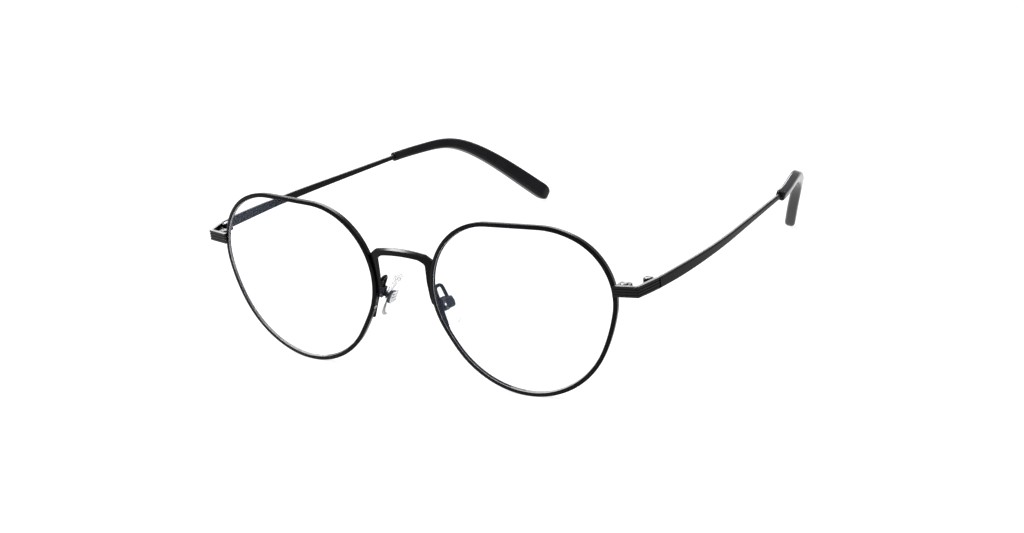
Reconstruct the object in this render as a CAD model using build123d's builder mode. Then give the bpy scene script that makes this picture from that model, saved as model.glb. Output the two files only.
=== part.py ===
from build123d import *
import math
import os

# Round wire spectacles, millimetres.
# +Z is up, the wearer looks along -Y, and +X is the wearer's left.
# The spectacles stand on the rims and the temple tips, on the plane Z = 0.
# Most shapes are made for the wearer's left and mirrored about the plane X = 0.

# ---- driving dimensions ----
LENS_CENTRE_X = 34.74        # half the distance between the two lens centres
LENS_CENTRE_Y = -66.00       # foremost point of the rims' sphere
LENS_CENTRE_Z = 23.69        # height of the lens centres above the table
WRAP_DEG = 3.75              # each lens plane turns back by this much at the temple side

RIM_SPHERE_R = 107.2         # front faces of rims and lenses lie on spheres
RIM_WIDTH = 1.15             # rim wire, seen from the front
RIM_DEPTH = 1.80             # rim wire, front to back
RIM_FRONT_CHAMFER = 0.24
RIM_REAR_CHAMFER = 0.15

# Centreline of the rim wire: tangent arcs (radius, turn in degrees), counterclockwise
# as seen from the front, starting at the temple side. None marks the two lower arcs
# whose radii close the outline.
RIM_START_ANGLE = -13.66
RIM_START = (25.18, 0.36)
RIM_ARCS = [
    (16.14, 77.9),           # upper corner, temple side
    (21.57, 26.2),
    (516.07, 1.6),           # flat top
    (18.82, 117.7),          # upper corner, nose side
    (77.17, 4.7),            # flank beside the nose pad
    (None, 71.3),            # lower curve, nose side
    (None, 47.0),            # lower curve, temple side
    (44.57, 13.6),           # flank below the end piece
]
RIM_TAPER_DEG = 13.2         # the rim's walls lean in, square to its spherical front
OUTLINE_DEPTH = 2.8          # the outline above is measured this far behind the sphere's pole

LENS_THICKNESS = 1.50
LENS_BEVEL_THICKNESS = 0.62
LENS_BEVEL_HEIGHT = 0.34     # how far the bevel stands into the rim's groove
LENS_BEVEL_CHAMFER = 0.22
LENS_EDGE_GAP = 0.02

END_HEIGHT = 2.78            # end piece strip, seen from the front
END_THICKNESS = 1.00
END_CENTRE_Z = 6.62
END_CORNER = (66.30, 5.30)   # outer fold corner in plan
END_FRONT_LENGTH = 6.55
END_FRONT_SLOPE_DEG = 11.7
END_SIDE_LENGTH = 7.30
END_SIDE_SPLAY_DEG = 13.6
GROOVE_PITCH = 0.68
GROOVE_WIDTH = 0.20
GROOVE_DEPTH = 0.16

BLOCK_CENTRE = (61.90, 6.65)  # closing block in plan
BLOCK_SIZE_X = 3.2
BLOCK_SIZE_Y = 2.7
BLOCK_TOP_Z = 7.83
BLOCK_BOTTOM_Z = 5.05
BLOCK_SLOT = 0.12             # gap that the rim screw pulls together
RIM_SCREW_R = 0.60
RIM_SCREW_HEAD_R = 0.95
RIM_SCREW_HEAD_HEIGHT = 0.40

HINGE_AXIS = (65.45, 11.70)   # vertical hinge axis in plan
HINGE_BARREL_R = 1.30
HINGE_TOP_Z = 7.85
HINGE_BOTTOM_Z = 4.70
KNUCKLE_GAP = 0.05
MIDDLE_KNUCKLE = (5.65, 6.90)  # lowest and highest Z of the temple's knuckle
HINGE_SCREW_R = 0.60
HINGE_SCREW_HEAD_R = 0.98
HINGE_SCREW_HEAD_HEIGHT = 0.38
HINGE_BORE_CLEARANCE = 0.05
SLOT_WIDTH = 0.26
SLOT_DEPTH = 0.18

TEMPLE_START = (67.52, 12.80)  # centreline in plan, just behind the end piece
TEMPLE_START_Z = 6.50
TEMPLE_DROOP = -0.043          # rise of the centreline per mm backwards
TEMPLE_START_ANGLE = 4.0       # outward angle in plan at the hinge
TEMPLE_BOW_R = 225.0
TEMPLE_BOW_TURN = 10.2
TEMPLE_THICKNESS = 1.15
TEMPLE_HEIGHTS = [(12.80, 2.72), (22.0, 2.78), (42.0, 2.15), (62.0, 1.66), (84.8, 1.28)]
TEMPLE_EDGE_CHAMFER = 0.26
TEMPLE_LEAF = [                # plan of the web from the temple's knuckle to its flange
    (66.65, 12.10),
    (66.65, 13.70),
    (67.60, 13.70),
    (67.80, 16.00),
    (66.80, 16.00),
    (65.90, 14.80),
    (64.40, 12.10),
]
TEMPLE_FLANGE = [              # plan of the flange soldered inside the temple
    (66.65, 13.70),
    (67.60, 13.70),
    (67.80, 16.00),
    (66.85, 16.00),
]
FLANGE_BOTTOM_Z = 4.55
FLANGE_TOP_Z = 7.45

TIP_POINTS = [                 # centreline of the temple tip
    (63.50, 84.0, 3.44),
    (60.90, 95.4, 2.90),
    (58.00, 104.6, 1.60),
    (54.00, 113.2, -3.40),
    (48.40, 121.4, -11.70),
    (41.80, 130.93, -22.53),
]
TIP_SECTIONS = [               # height and thickness at equal steps along the centreline
    (2.65, 2.55),
    (2.70, 2.60),
    (2.80, 2.66),
    (3.05, 2.74),
    (3.45, 2.84),
    (3.90, 2.92),
    (4.30, 3.00),
    (4.58, 3.04),
    (4.70, 3.04),
]
TIP_BODY_END = 0.955           # the rounded end cap begins here
TIP_CAP_STEPS = 4
TIP_CAP_FLAT = 0.35            # how much of the cap's width its last section keeps
CORE_END = 0.62                # the wire core ends this far along the tip
CORE_R = 0.46

# Front view of the bridge, half of it: (x, z) above the lens centres.
BRIDGE_TOP_MIDDLE_Z = 11.38
BRIDGE_TOP_END = (7.80, 10.35)     # where the arched bar turns down to the rim
BRIDGE_SHOULDER = (9.90, 8.40)
BRIDGE_LEG_INSIDE = (9.10, -0.60)  # inside the rim wire, trimmed back to it
BRIDGE_LEG_FOOT = (8.85, -2.75)
BRIDGE_LEG_TOE = (8.12, -2.30)
BRIDGE_LEG_WAIST = (7.45, 3.00)
BRIDGE_CORNER = (7.50, 7.75)
BRIDGE_BOTTOM_END = (5.60, 9.00)
BRIDGE_BOTTOM_MIDDLE_Z = 9.50
BRIDGE_FRONT_Y = 1.20              # front face of the bar at the middle
BRIDGE_SWEEP_BACK = 0.70           # how far the bar's ends lie behind its middle
BRIDGE_DEPTH = 1.00
BRIDGE_BEVEL = 0.36

PAD_SCREW_PLACE = (8.41, 7.04, -4.32)  # on the pad's middle surface, below its screw
PAD_LONG_AXIS = (0.43, -0.08, -0.90)
PAD_SPLAY_DEG = 12.0               # the pads' rear edges stand further apart
PAD_LOW_ROUND = (-0.60, 2.30, 3.60)   # across, down and radius of the pad's wide lower end
PAD_HIGH_ROUND = (-0.60, -4.00, 2.50)  # and of its narrow upper end
PAD_THICKNESS = 2.5
PAD_FILLET = 1.1
INSERT_LENGTH = 3.6
INSERT_WIDTH = 3.3
INSERT_THICKNESS = 0.60
INSERT_LEVEL = -0.25               # the insert plate's lower face, from the pad's middle
INSERT_RISE = 0.25                 # the plate reaches further up than down from the screw
TONGUE_WIDTH = 1.20
TONGUE_R = 0.65
PAD_SCREW_R = 0.35
PAD_SCREW_HEAD_R = 0.60
PAD_SCREW_HEAD_HEIGHT = 0.30
PAD_SCREW_LEVEL = 2.60             # screw axis above the pad's middle
PAD_BOX_LENGTH = 2.6
PAD_BOX_WALL = 0.45
PAD_BOX_INSIDE = 1.50
PAD_BOX_LEVELS = (2.05, 3.75)
PAD_BOX_ROOF = 0.38
ARM_WIRE_R = 0.46
ARM_BEND_R = 1.0
ARM_POINTS = [                     # centreline of the pad arm, from its foot on the rim
    (11.95, 3.45, -8.70),
    (10.55, 3.75, -4.40),
    (8.50, 4.30, 1.50),
    (8.75, 6.70, 1.50),
    (10.55, 6.58, -2.20),
]


def at(x, y, z):
    """A point measured from midway between the two lens centres."""
    return Vector(x, LENS_CENTRE_Y + y, LENS_CENTRE_Z + z)


def direction(degrees):
    """Unit vector at an angle in a sketch plane."""
    return Vector(math.cos(math.radians(degrees)), math.sin(math.radians(degrees)))


# ---- lens outline ----
def closed_radii():
    """Radii of all the rim arcs, with the two free ones solved so that the outline closes."""
    angle = RIM_START_ANGLE
    chords = []
    for radius, turn in RIM_ARCS:
        chords.append(direction(angle + turn) - direction(angle))
        angle += turn
    missing = Vector(0, 0)
    free = []
    for (radius, turn), chord in zip(RIM_ARCS, chords):
        if radius is None:
            free.append(chord)
        else:
            missing -= chord * radius
    determinant = free[0].X * free[1].Y - free[0].Y * free[1].X
    solved = [
        (missing.X * free[1].Y - missing.Y * free[1].X) / determinant,
        (free[0].X * missing.Y - free[0].Y * missing.X) / determinant,
    ]
    return [solved.pop(0) if radius is None else radius for radius, turn in RIM_ARCS]


RIM_RADII = closed_radii()


def outline(grow):
    """Lens outline as a face: the rim's centreline, grown outwards by a distance."""
    start = Vector(*RIM_START) + direction(RIM_START_ANGLE) * grow
    angle = RIM_START_ANGLE
    with BuildSketch(Plane.XY) as sketch:
        with BuildLine():
            here = start
            for radius, (_, turn) in zip(RIM_RADII, RIM_ARCS):
                arc = JernArc(here, direction(angle + 90), radius + grow, turn)
                here = arc @ 1
                angle += turn
        make_face()
    return sketch.sketch


WRAP = math.radians(WRAP_DEG)
LENS_PLANE = Plane(
    origin=at(LENS_CENTRE_X, 0, 0),
    x_dir=(math.cos(WRAP), math.sin(WRAP), 0),
    z_dir=(math.sin(WRAP), -math.cos(WRAP), 0),
)
SPHERE_CENTRE = LENS_PLANE.origin - LENS_PLANE.z_dir * RIM_SPHERE_R
LENS_REACH = (-9.0, 3.0)       # the rim and lens walls are first cut between these depths


def tapered_disc(grow):
    """Solid of the lens outline, grown by a distance, whose wall leans in towards the back."""
    lean = math.tan(math.radians(RIM_TAPER_DEG))
    back, front = LENS_REACH
    with BuildPart() as disc:
        with BuildSketch(LENS_PLANE.offset(back)):
            add(outline(grow + (back + OUTLINE_DEPTH) * lean))
        extrude(amount=front - back, taper=-RIM_TAPER_DEG)
    return disc.part


def curved_disc(grow, front, back):
    """The tapered disc between two spheres, `front` and `back` mm behind the rim's front."""
    with BuildPart() as disc:
        add(tapered_disc(grow))
        with Locations(SPHERE_CENTRE):
            Sphere(RIM_SPHERE_R - front, mode=Mode.INTERSECT)
            Sphere(RIM_SPHERE_R - back, mode=Mode.SUBTRACT)
    return disc.part


rim_prism = tapered_disc(RIM_WIDTH / 2)
outer_disc = curved_disc(RIM_WIDTH / 2, 0, RIM_DEPTH)
inner_disc = tapered_disc(-RIM_WIDTH / 2)
bevel_front = (RIM_DEPTH - LENS_BEVEL_THICKNESS) / 2
bevel_disc = curved_disc(
    LENS_BEVEL_HEIGHT - RIM_WIDTH / 2, bevel_front, bevel_front + LENS_BEVEL_THICKNESS
)
lens_front = (RIM_DEPTH - LENS_THICKNESS) / 2
lens_disc = curved_disc(
    -RIM_WIDTH / 2 - LENS_EDGE_GAP, lens_front, lens_front + LENS_THICKNESS
)

with BuildPart() as lens_bevel:
    add(bevel_disc)
    chamfer(lens_bevel.faces().filter_by(GeomType.SPHERE).edges(), LENS_BEVEL_CHAMFER)

with BuildPart() as lens:
    add(lens_disc)
    add(lens_bevel.part)

with BuildPart() as rim:
    add(outer_disc)
    add(inner_disc, mode=Mode.SUBTRACT)
    rim_spheres = rim.faces().filter_by(GeomType.SPHERE).sort_by(Axis.Y)
    chamfer(rim_spheres[0].edges(), RIM_FRONT_CHAMFER)
    rim_spheres = rim.faces().filter_by(GeomType.SPHERE).sort_by(Axis.Y)
    chamfer(rim_spheres[-1].edges(), RIM_REAR_CHAMFER)
    add(lens_bevel.part, mode=Mode.SUBTRACT)


def plan_plane(z):
    """Horizontal plane at a height above the lens centres; its X and Y are the frame's."""
    return Plane(origin=at(0, 0, z), x_dir=(1, 0, 0), z_dir=(0, 0, 1))


def bent_strip(thickness):
    """Plan of the end piece: the outer face's two straight runs, thickened inwards."""
    slope = math.radians(END_FRONT_SLOPE_DEG)
    splay = math.radians(END_SIDE_SPLAY_DEG)
    corner = Vector(*END_CORNER)
    front_run = Vector(math.cos(slope), math.sin(slope))
    side_run = Vector(math.sin(splay), math.cos(splay))
    front_in = Vector(-front_run.Y, front_run.X)
    side_in = Vector(-side_run.Y, side_run.X)
    fold = math.acos(front_in.dot(side_in))
    mitre = (front_in + side_in).normalized() * (thickness / math.cos(fold / 2))
    start = corner - front_run * END_FRONT_LENGTH
    end = corner + side_run * END_SIDE_LENGTH
    points = [
        start,
        corner,
        end,
        end + side_in * thickness,
        corner + mitre,
        start + front_in * thickness,
    ]
    with BuildSketch(Plane.XY) as sketch:
        with BuildLine():
            Polyline(*[(p.X, p.Y) for p in points], close=True)
        make_face()
    return sketch.sketch


# ---- end piece: a folded strip soldered to the front of the rim ----
end_plan = bent_strip(END_THICKNESS)
groove_plan = bent_strip(GROOVE_DEPTH)
with BuildPart() as end_piece:
    with BuildSketch(plan_plane(END_CENTRE_Z - END_HEIGHT / 2)):
        add(end_plan)
    extrude(amount=END_HEIGHT)
    for step in (-1, 0, 1):
        level = END_CENTRE_Z + step * GROOVE_PITCH - GROOVE_WIDTH / 2
        with BuildSketch(plan_plane(level)):
            add(groove_plan)
        extrude(amount=GROOVE_WIDTH, mode=Mode.SUBTRACT)
    add(outer_disc, mode=Mode.SUBTRACT)

# ---- closing block: two halves behind the end piece, with the rim's screw ----
BLOCK_MIDDLE_Z = (BLOCK_TOP_Z + BLOCK_BOTTOM_Z) / 2


def closing_half(bottom, top):
    """One half of the closing block, fitted to the rim and the end piece."""
    with BuildPart() as half:
        with BuildSketch(plan_plane(bottom)):
            with Locations(BLOCK_CENTRE):
                RectangleRounded(BLOCK_SIZE_X, BLOCK_SIZE_Y, 0.5)
        extrude(amount=top - bottom)
        add(outer_disc, mode=Mode.SUBTRACT)
        add(end_piece.part, mode=Mode.SUBTRACT)
    return half.part.solids().sort_by(SortBy.VOLUME)[-1]


def slotted_screw(centre, bottom, top, radius, head_radius, head_height):
    """Vertical screw with a slotted cheese head; `top` is the underside of the head."""
    with BuildPart() as screw:
        with BuildSketch(plan_plane(bottom)):
            with Locations(centre):
                Circle(radius)
        extrude(amount=top - bottom)
        with BuildSketch(plan_plane(top)):
            with Locations(centre):
                Circle(head_radius)
        extrude(amount=head_height)
        chamfer(screw.faces().sort_by(Axis.Z)[-1].edges(), 0.12)
        with BuildSketch(plan_plane(top + head_height - SLOT_DEPTH)):
            with Locations(centre):
                Rectangle(3 * head_radius, SLOT_WIDTH)
        extrude(amount=SLOT_DEPTH, mode=Mode.SUBTRACT)
    return screw.part


with BuildPart() as rim_screw:
    add(slotted_screw(
        BLOCK_CENTRE, BLOCK_BOTTOM_Z + 0.2, BLOCK_TOP_Z - 0.15,
        RIM_SCREW_R, RIM_SCREW_HEAD_R, RIM_SCREW_HEAD_HEIGHT,
    ))

with BuildPart() as closing_block_upper:
    add(closing_half(BLOCK_MIDDLE_Z + BLOCK_SLOT / 2, BLOCK_TOP_Z))
    add(rim_screw.part, mode=Mode.SUBTRACT)

with BuildPart() as closing_block_lower:
    add(closing_half(BLOCK_BOTTOM_Z, BLOCK_MIDDLE_Z - BLOCK_SLOT / 2))
    add(rim_screw.part, mode=Mode.SUBTRACT)

# The rim is cut through beside the block's slot, so that the screw can close it.
with BuildPart() as split_rim:
    add(rim.part)
    with BuildSketch(plan_plane(BLOCK_MIDDLE_Z - BLOCK_SLOT / 2)):
        with Locations(BLOCK_CENTRE):
            Rectangle(2 * BLOCK_SIZE_X + 2, 3 * BLOCK_SIZE_Y)
    extrude(amount=BLOCK_SLOT, mode=Mode.SUBTRACT)

# ---- hinge ----
HINGE_X, HINGE_Y = HINGE_AXIS
hinge_screw_top = HINGE_TOP_Z - 0.10
with BuildPart() as hinge_screw:
    add(slotted_screw(
        HINGE_AXIS, HINGE_BOTTOM_Z + 0.1, hinge_screw_top,
        HINGE_SCREW_R, HINGE_SCREW_HEAD_R, HINGE_SCREW_HEAD_HEIGHT,
    ))

side_angle = 90 - END_SIDE_SPLAY_DEG
side_run = direction(side_angle)
side_in = direction(side_angle + 90)
inner_corner = Vector(*END_CORNER) + side_in * END_THICKNESS
FRONT_LEAF_START = 3.4       # along the side plate from the fold
FRONT_LEAF_END = 6.6
FRONT_LEAF_THICKNESS = 1.0
FRONT_LEAF_TOP_Z = 7.30
leaf_foot = inner_corner + side_run * FRONT_LEAF_START
leaf_head = inner_corner + side_run * FRONT_LEAF_END

with BuildPart() as front_hinge:
    with BuildSketch(plan_plane(HINGE_BOTTOM_Z)):
        with BuildLine():
            Polyline(
                (leaf_foot.X, leaf_foot.Y),
                (leaf_head.X, leaf_head.Y),
                ((leaf_head + side_in * FRONT_LEAF_THICKNESS).X,
                 (leaf_head + side_in * FRONT_LEAF_THICKNESS).Y),
                ((leaf_foot + side_in * FRONT_LEAF_THICKNESS).X,
                 (leaf_foot + side_in * FRONT_LEAF_THICKNESS).Y),
                close=True,
            )
        make_face()
    extrude(amount=FRONT_LEAF_TOP_Z - HINGE_BOTTOM_Z)
    with BuildSketch(plan_plane(HINGE_BOTTOM_Z)):
        with Locations(HINGE_AXIS):
            Circle(HINGE_BARREL_R)
    extrude(amount=HINGE_TOP_Z - HINGE_BOTTOM_Z)
    with BuildSketch(plan_plane(MIDDLE_KNUCKLE[0] - KNUCKLE_GAP)):
        with Locations((HINGE_X, HINGE_Y + 1.5)):
            Rectangle(5, 2 * (HINGE_BARREL_R + 0.15) + 3)
    extrude(
        amount=MIDDLE_KNUCKLE[1] - MIDDLE_KNUCKLE[0] + 2 * KNUCKLE_GAP, mode=Mode.SUBTRACT
    )
    add(end_piece.part, mode=Mode.SUBTRACT)
    add(closing_block_upper.part, mode=Mode.SUBTRACT)
    add(closing_block_lower.part, mode=Mode.SUBTRACT)
    add(hinge_screw.part, mode=Mode.SUBTRACT)

# ---- temple ----
bow_start = Vector(*TEMPLE_START)
with BuildLine() as temple_plan_line:
    bow = JernArc(
        bow_start, direction(90 - TEMPLE_START_ANGLE), TEMPLE_BOW_R, TEMPLE_BOW_TURN
    )
bow_end = bow @ 1
bow_out = bow % 1
straight_end = bow_end + bow_out * ((TEMPLE_HEIGHTS[-1][0] - bow_end.Y) / bow_out.Y)


def temple_side(offset):
    """Plan curve of the temple, shifted outwards from its centreline."""
    outwards = direction(-TEMPLE_START_ANGLE)
    edge = JernArc(
        bow_start + outwards * offset,
        direction(90 - TEMPLE_START_ANGLE),
        TEMPLE_BOW_R + offset,
        TEMPLE_BOW_TURN,
    )
    end = straight_end + Vector(bow_out.Y, -bow_out.X) * offset
    return edge, end


def temple_centre_z(y):
    """Height of the temple's centreline at a depth behind the front."""
    return TEMPLE_START_Z + TEMPLE_DROOP * (y - TEMPLE_START[1])


side_points = [(y, temple_centre_z(y) + h / 2) for y, h in TEMPLE_HEIGHTS]
side_points += [(y, temple_centre_z(y) - h / 2) for y, h in reversed(TEMPLE_HEIGHTS)]

with BuildPart() as temple_blade:
    with BuildSketch(plan_plane(-5)):
        with BuildLine():
            outer, outer_end = temple_side(TEMPLE_THICKNESS / 2)
            inner, inner_end = temple_side(-TEMPLE_THICKNESS / 2)
            Line(outer @ 1, outer_end)
            Line(outer_end, inner_end)
            Line(inner_end, inner @ 1)
            Line(inner @ 0, outer @ 0)
        make_face()
    extrude(amount=20)
    with BuildSketch(Plane(origin=at(0, 0, 0), x_dir=(0, 1, 0), z_dir=(1, 0, 0))):
        with BuildLine():
            Spline(*side_points[:5])
            Line(side_points[4], side_points[5])
            Spline(*side_points[5:])
            Line(side_points[9], side_points[0])
        make_face()
    extrude(amount=100, mode=Mode.INTERSECT)


with BuildLine() as tip_line:
    tip_path = Spline(
        *[at(*p) for p in TIP_POINTS],
        tangents=[(bow_out.X, bow_out.Y, TEMPLE_DROOP), (-0.43, 0.61, -0.67)],
    )


def tip_plane(place):
    """Section plane of the tip: X is horizontal and points away from the head."""
    along = tip_path % place
    return Plane(origin=tip_path @ place, x_dir=along.cross(Vector(0, 0, 1)), z_dir=along)


with BuildPart() as wire_core:
    for place in (0.0, CORE_END / 3, 2 * CORE_END / 3, CORE_END):
        with BuildSketch(tip_plane(place)):
            Circle(CORE_R)
    loft()

with BuildPart() as temple:
    add(temple_blade.part)
    long_edges = temple.edges().filter_by(lambda e: e.length > 25)
    chamfer(long_edges, TEMPLE_EDGE_CHAMFER)
    add(wire_core.part)

with BuildPart() as temple_tip:
    for step, (height, thickness) in enumerate(TIP_SECTIONS):
        with BuildSketch(tip_plane(TIP_BODY_END * step / (len(TIP_SECTIONS) - 1))):
            RectangleRounded(thickness, height, 0.4 * thickness)
    loft()
    height, thickness = TIP_SECTIONS[-1]
    for step in range(TIP_CAP_STEPS + 1):
        turn = math.radians(90 * step / TIP_CAP_STEPS)
        place = TIP_BODY_END + (1 - TIP_BODY_END) * math.sin(turn)
        inset = thickness * (1 - TIP_CAP_FLAT) * (1 - math.cos(turn))
        with BuildSketch(tip_plane(place)):
            RectangleRounded(thickness - inset, height - inset, 0.4 * (thickness - inset))
    loft(ruled=True)
    add(temple.part, mode=Mode.SUBTRACT)

with BuildPart() as temple_hinge:
    with BuildSketch(plan_plane(MIDDLE_KNUCKLE[0])):
        with BuildLine():
            Polyline(*TEMPLE_LEAF, close=True)
        make_face()
        with Locations(HINGE_AXIS):
            Circle(HINGE_BARREL_R)
    extrude(amount=MIDDLE_KNUCKLE[1] - MIDDLE_KNUCKLE[0])
    with BuildSketch(plan_plane(FLANGE_BOTTOM_Z)):
        with BuildLine():
            Polyline(*TEMPLE_FLANGE, close=True)
        make_face()
    extrude(amount=FLANGE_TOP_Z - FLANGE_BOTTOM_Z)
    with BuildSketch(plan_plane(HINGE_BOTTOM_Z)):
        with Locations(HINGE_AXIS):
            Circle(HINGE_SCREW_R + HINGE_BORE_CLEARANCE)
    extrude(amount=HINGE_TOP_Z - HINGE_BOTTOM_Z, mode=Mode.SUBTRACT)
    with BuildSketch(plan_plane(-5)):
        with BuildLine():
            inner, inner_end = temple_side(-TEMPLE_THICKNESS / 2)
            Line(inner @ 1, (inner @ 1) + Vector(9, 0))
            Line((inner @ 1) + Vector(9, 0), (inner @ 0) + Vector(9, 0))
            Line((inner @ 0) + Vector(9, 0), inner @ 0)
        make_face()
    extrude(amount=20, mode=Mode.SUBTRACT)

# ---- bridge ----
with BuildPart() as bridge:
    with BuildSketch(Plane(origin=at(0, 0, 0), x_dir=(1, 0, 0), z_dir=(0, -1, 0))):
        with BuildLine():
            top_x, top_z = BRIDGE_TOP_END
            ThreePointArc((-top_x, top_z), (0, BRIDGE_TOP_MIDDLE_Z), (top_x, top_z))
            low_x, low_z = BRIDGE_BOTTOM_END
            ThreePointArc((-low_x, low_z), (0, BRIDGE_BOTTOM_MIDDLE_Z), (low_x, low_z))
            for side in (-1, 1):
                leg = [
                    BRIDGE_TOP_END, BRIDGE_SHOULDER, BRIDGE_LEG_INSIDE, BRIDGE_LEG_FOOT,
                    BRIDGE_LEG_TOE, BRIDGE_LEG_WAIST, BRIDGE_CORNER, BRIDGE_BOTTOM_END,
                ]
                Polyline(*[(side * x, z) for x, z in leg])
        make_face()
    extrude(amount=10, both=True)
    with BuildSketch(plan_plane(-10)):
        with BuildLine():
            reach = 12
            swing = BRIDGE_SWEEP_BACK * (reach / BRIDGE_TOP_END[0]) ** 2
            front_arc = ThreePointArc(
                (-reach, BRIDGE_FRONT_Y + swing), (0, BRIDGE_FRONT_Y),
                (reach, BRIDGE_FRONT_Y + swing),
            )
            back_arc = ThreePointArc(
                (-reach, BRIDGE_FRONT_Y + swing + BRIDGE_DEPTH),
                (0, BRIDGE_FRONT_Y + BRIDGE_DEPTH),
                (reach, BRIDGE_FRONT_Y + swing + BRIDGE_DEPTH),
            )
            Line(front_arc @ 0, back_arc @ 0)
            Line(front_arc @ 1, back_arc @ 1)
        make_face()
    extrude(amount=30, mode=Mode.INTERSECT)
    for disc in (rim_prism, mirror(rim_prism, about=Plane.YZ)):
        add(disc, mode=Mode.SUBTRACT)

    top_edge = bridge.edges().sort_by_distance(at(0, BRIDGE_FRONT_Y, BRIDGE_TOP_MIDDLE_Z))[0]
    chamfer(top_edge, BRIDGE_BEVEL)

# ---- nose pad, its insert, screw and arm ----
long_axis = Vector(*PAD_LONG_AXIS).normalized()
splay = math.radians(PAD_SPLAY_DEG)
level_axis = Vector(math.sin(splay), math.cos(splay), 0)
pad_normal = long_axis.cross(level_axis).normalized()
pad_across = pad_normal.cross(long_axis) * -1
PAD_PLANE = Plane(origin=at(*PAD_SCREW_PLACE), x_dir=pad_across, z_dir=pad_normal)


def box_side(offset):
    """Plane square to the pad screw, seen from the pad's front edge."""
    return Plane(
        origin=PAD_PLANE.origin + PAD_PLANE.x_dir * offset,
        x_dir=PAD_PLANE.y_dir,
        z_dir=PAD_PLANE.x_dir,
    )


with BuildPart() as pad_insert:
    with BuildSketch(PAD_PLANE.offset(INSERT_LEVEL)):
        with Locations((0, -INSERT_RISE)):
            RectangleRounded(INSERT_WIDTH, INSERT_LENGTH, 1.1)
    extrude(amount=INSERT_THICKNESS)
    with BuildSketch(box_side(-TONGUE_WIDTH / 2)):
        with Locations((0, PAD_SCREW_LEVEL)):
            Circle(TONGUE_R)
        with Locations((0, (INSERT_LEVEL + PAD_SCREW_LEVEL) / 2)):
            Rectangle(2 * TONGUE_R, PAD_SCREW_LEVEL - INSERT_LEVEL)
    extrude(amount=TONGUE_WIDTH)
    with BuildSketch(box_side(-TONGUE_WIDTH)):
        with Locations((0, PAD_SCREW_LEVEL)):
            Circle(PAD_SCREW_R + HINGE_BORE_CLEARANCE)
    extrude(amount=2 * TONGUE_WIDTH, mode=Mode.SUBTRACT)

with BuildPart() as nose_pad:
    with BuildSketch(PAD_PLANE.offset(-PAD_THICKNESS / 2)):
        for across, down, radius in (PAD_LOW_ROUND, PAD_HIGH_ROUND):
            with Locations((across, down)):
                Circle(radius)
        make_hull()
    extrude(amount=PAD_THICKNESS)
    fillet(nose_pad.edges(), PAD_FILLET)
    add(pad_insert.part, mode=Mode.SUBTRACT)

box_half = PAD_BOX_INSIDE / 2 + PAD_BOX_WALL
with BuildPart() as pad_screw:
    with BuildSketch(box_side(-box_half)):
        with Locations((0, PAD_SCREW_LEVEL)):
            Circle(PAD_SCREW_R)
    extrude(amount=2 * box_half)
    with BuildSketch(box_side(-box_half)):
        with Locations((0, PAD_SCREW_LEVEL)):
            Circle(PAD_SCREW_HEAD_R)
    extrude(amount=-PAD_SCREW_HEAD_HEIGHT)

with BuildPart() as pad_box:
    box_bottom, box_top = PAD_BOX_LEVELS
    with BuildSketch(PAD_PLANE.offset(box_bottom)):
        Rectangle(2 * box_half, PAD_BOX_LENGTH)
    extrude(amount=box_top - box_bottom)
    fillet(pad_box.edges().filter_by(lambda e: abs(e.tangent_at(0).dot(PAD_PLANE.x_dir)) < 0.1), 0.4)
    with BuildSketch(PAD_PLANE.offset(box_bottom)):
        Rectangle(PAD_BOX_INSIDE, 2 * PAD_BOX_LENGTH)
    extrude(amount=box_top - box_bottom - PAD_BOX_ROOF, mode=Mode.SUBTRACT)
    add(pad_screw.part, mode=Mode.SUBTRACT)

with BuildPart() as pad_arm:
    with BuildLine() as arm_line:
        FilletPolyline(*[at(*p) for p in ARM_POINTS], radius=ARM_BEND_R)
    with BuildSketch(Plane(origin=arm_line.line @ 0, z_dir=arm_line.line % 0)):
        Circle(ARM_WIRE_R)
    sweep()
    add(outer_disc, mode=Mode.SUBTRACT)
    add(pad_box.part, mode=Mode.SUBTRACT)

# ---- the wearer's left, its mirror image, and the bridge between them ----
sided_pieces = {
    "rim": split_rim,
    "lens": lens,
    "end_piece": end_piece,
    "closing_block_upper": closing_block_upper,
    "closing_block_lower": closing_block_lower,
    "rim_screw": rim_screw,
    "front_hinge": front_hinge,
    "hinge_screw": hinge_screw,
    "temple_hinge": temple_hinge,
    "temple": temple,
    "temple_tip": temple_tip,
    "pad_arm": pad_arm,
    "pad_box": pad_box,
    "pad_screw": pad_screw,
    "pad_insert": pad_insert,
    "nose_pad": nose_pad,
}

os.makedirs("parts", exist_ok=True)
bridge.part.label = "bridge"
export_step(bridge.part, "parts/bridge.step")
for name, piece in sided_pieces.items():
    with BuildPart() as twin:
        mirror(piece.part, about=Plane.YZ)
    for side, part in (("left", piece.part), ("right", twin.part)):
        part.label = f"{side}_{name}"
        export_step(part, f"parts/{side}_{name}.step")
    box = piece.part.bounding_box()
    print(f"{name}: y {box.min.Y:.2f} to {box.max.Y:.2f}, z {box.min.Z:.2f} to {box.max.Z:.2f}")
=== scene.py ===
import math

import bmesh
import bpy
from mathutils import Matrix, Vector


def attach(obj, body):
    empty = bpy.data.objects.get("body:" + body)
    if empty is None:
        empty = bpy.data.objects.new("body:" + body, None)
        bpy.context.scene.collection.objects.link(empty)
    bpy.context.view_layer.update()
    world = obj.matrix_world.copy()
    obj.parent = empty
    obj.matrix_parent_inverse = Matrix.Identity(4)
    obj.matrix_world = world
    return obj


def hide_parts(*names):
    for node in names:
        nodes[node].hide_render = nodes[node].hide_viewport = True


# Round wire eyeglasses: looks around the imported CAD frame.
# Lengths below are millimetres in the "front" frame: origin midway between the lens centres,
# +X the wearer's left, +Y back, +Z up. row() turns them into metres in the row frame.
# Left pieces are built first, and place_pair() mirrors each to the wearer's right.

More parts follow.
